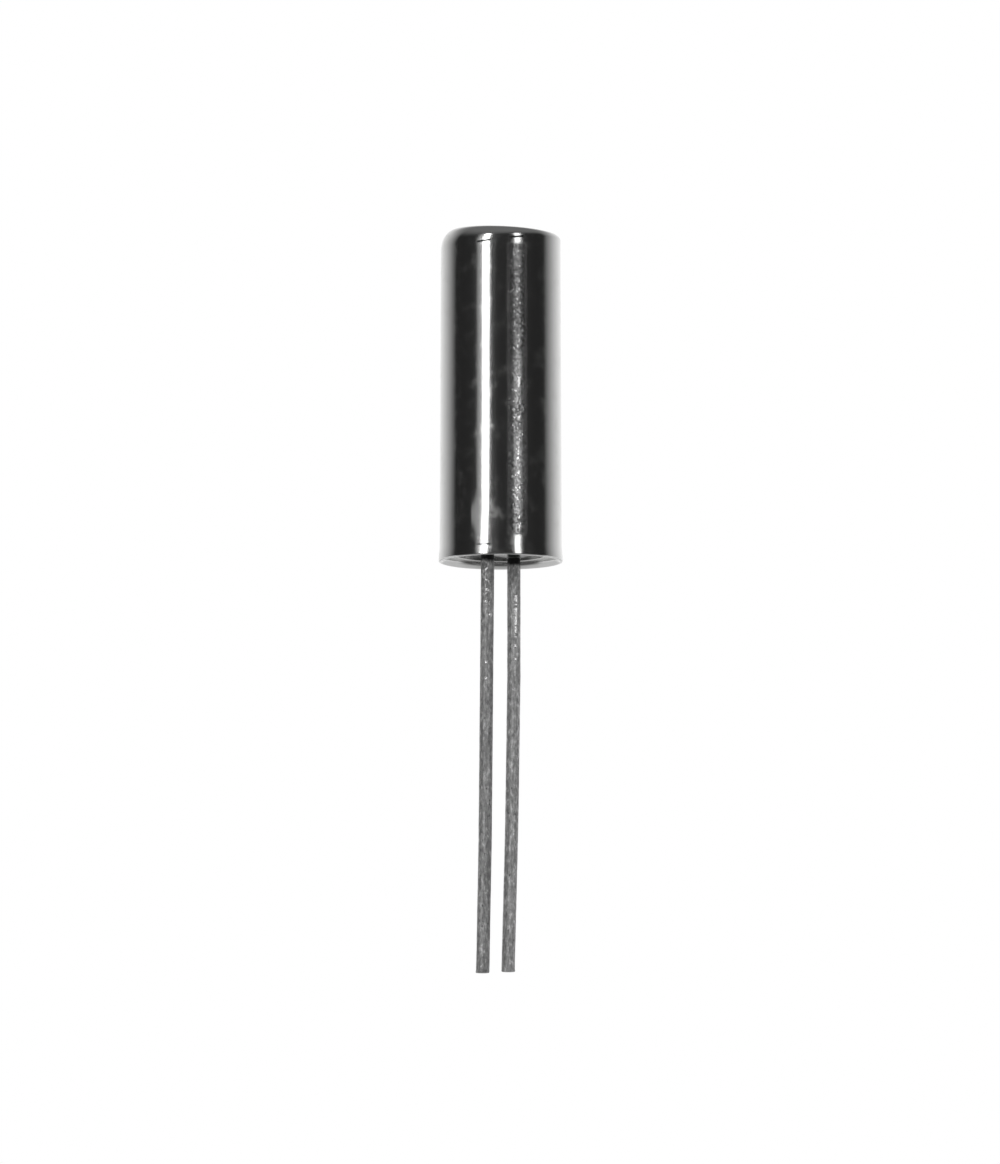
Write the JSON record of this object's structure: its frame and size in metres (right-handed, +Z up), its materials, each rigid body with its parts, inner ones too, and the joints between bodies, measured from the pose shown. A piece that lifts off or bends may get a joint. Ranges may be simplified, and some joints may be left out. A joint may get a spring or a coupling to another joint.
{
  "type": "crystal oscillator",
  "caption": "Quartz tuning-fork crystal sealed in a slim round metal can, closed below by a glass-to-metal header with long parallel wire leads for soldering.",
  "frame": {"origin": "on the can's axis, in the plane of its open rim, which is where it seats when it stands on a board", "axes": "+Z up along the can's axis towards its closed crown, +X from the left lead to the right lead, +Y away from a viewer who has the left lead on the left"},
  "size_m": [0.0032, 0.003, 0.0189],
  "materials": {
    "can_metal": "polished",
    "header_metal": "satin",
    "seal_glass": "gloss",
    "lead_wire": "satin",
    "quartz": "gloss",
    "electrode_film": "gloss",
    "solder": "satin"
  },
  "bodies": {
    "root": {"can": "can_metal", "header_ring": "header_metal", "glass_seal": "seal_glass", "lead_left": "lead_wire", "lead_right": "lead_wire", "tuning_fork": "quartz", "electrode_left": "electrode_film", "electrode_right": "electrode_film", "solder_left": "solder", "solder_right": "solder"}
  },
  "joints": []
}
